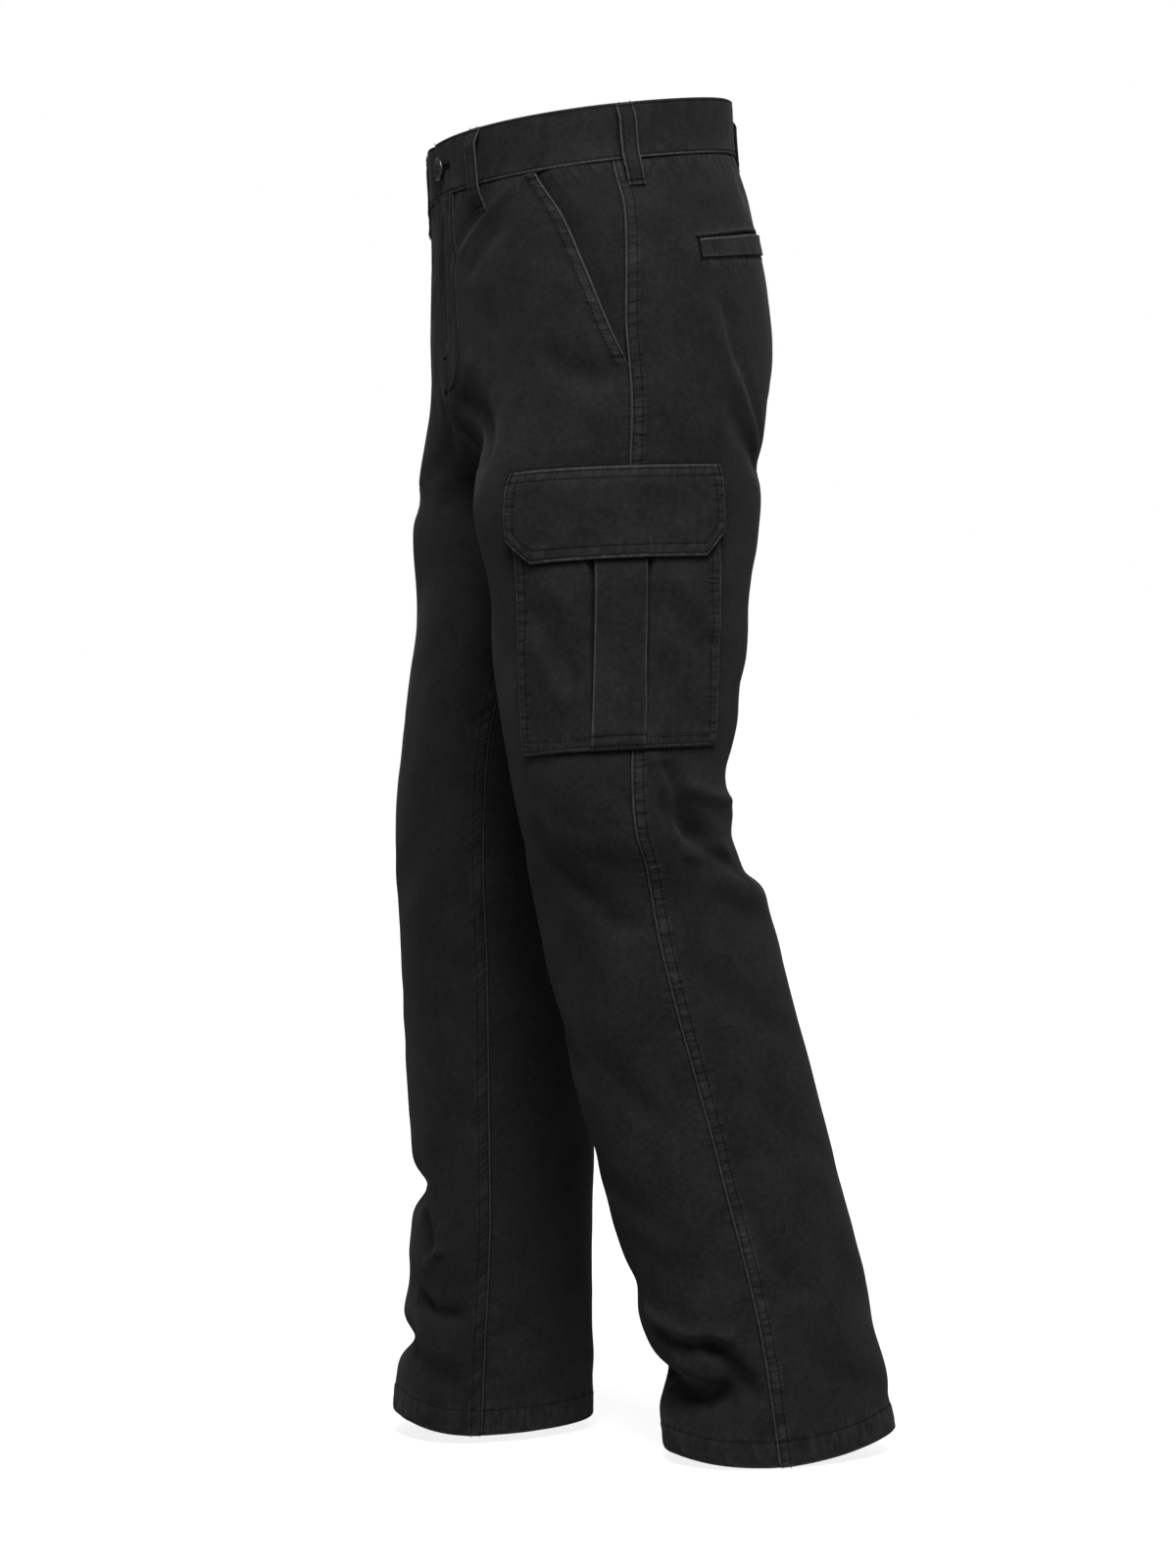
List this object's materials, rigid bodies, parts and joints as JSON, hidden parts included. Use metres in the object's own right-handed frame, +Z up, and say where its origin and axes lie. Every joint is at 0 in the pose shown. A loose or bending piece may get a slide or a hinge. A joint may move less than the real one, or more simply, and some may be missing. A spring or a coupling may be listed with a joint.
{
  "type": "cargo trousers",
  "caption": "Straight cargo trousers in cotton twill, filled out as if worn in mid-stride, with flapped box-pleat thigh pockets, slant front and welt back pockets and belt loops",
  "frame": {"origin": "middle of the waist opening, where the wearer's body holds the trousers up", "axes": "+Z up along the body, -Y the front of the trousers, +X the wearer's left"},
  "size_m": [0.3997, 0.3574, 1.0617],
  "materials": {
    "twill": "near-black cotton twill, matt, slightly worn along the seams",
    "button": "black four-hole sew-through button"
  },
  "bodies": {
    "root": {"waistband": "twill", "fly": "twill", "front_left": "twill", "back_left": "twill", "hip_facing_left": "twill", "back_welt_left": "twill", "cargo_pocket_left": "twill", "cargo_pleat_left": "twill", "cargo_flap_left": "twill", "front_right": "twill", "back_right": "twill", "hip_facing_right": "twill", "back_welt_right": "twill", "cargo_pocket_right": "twill", "cargo_pleat_right": "twill", "cargo_flap_right": "twill", "belt_loop_front_left": "twill", "belt_loop_front_right": "twill", "belt_loop_side_left": "twill", "belt_loop_side_right": "twill", "belt_loop_back": "twill", "button": "button"}
  },
  "joints": []
}
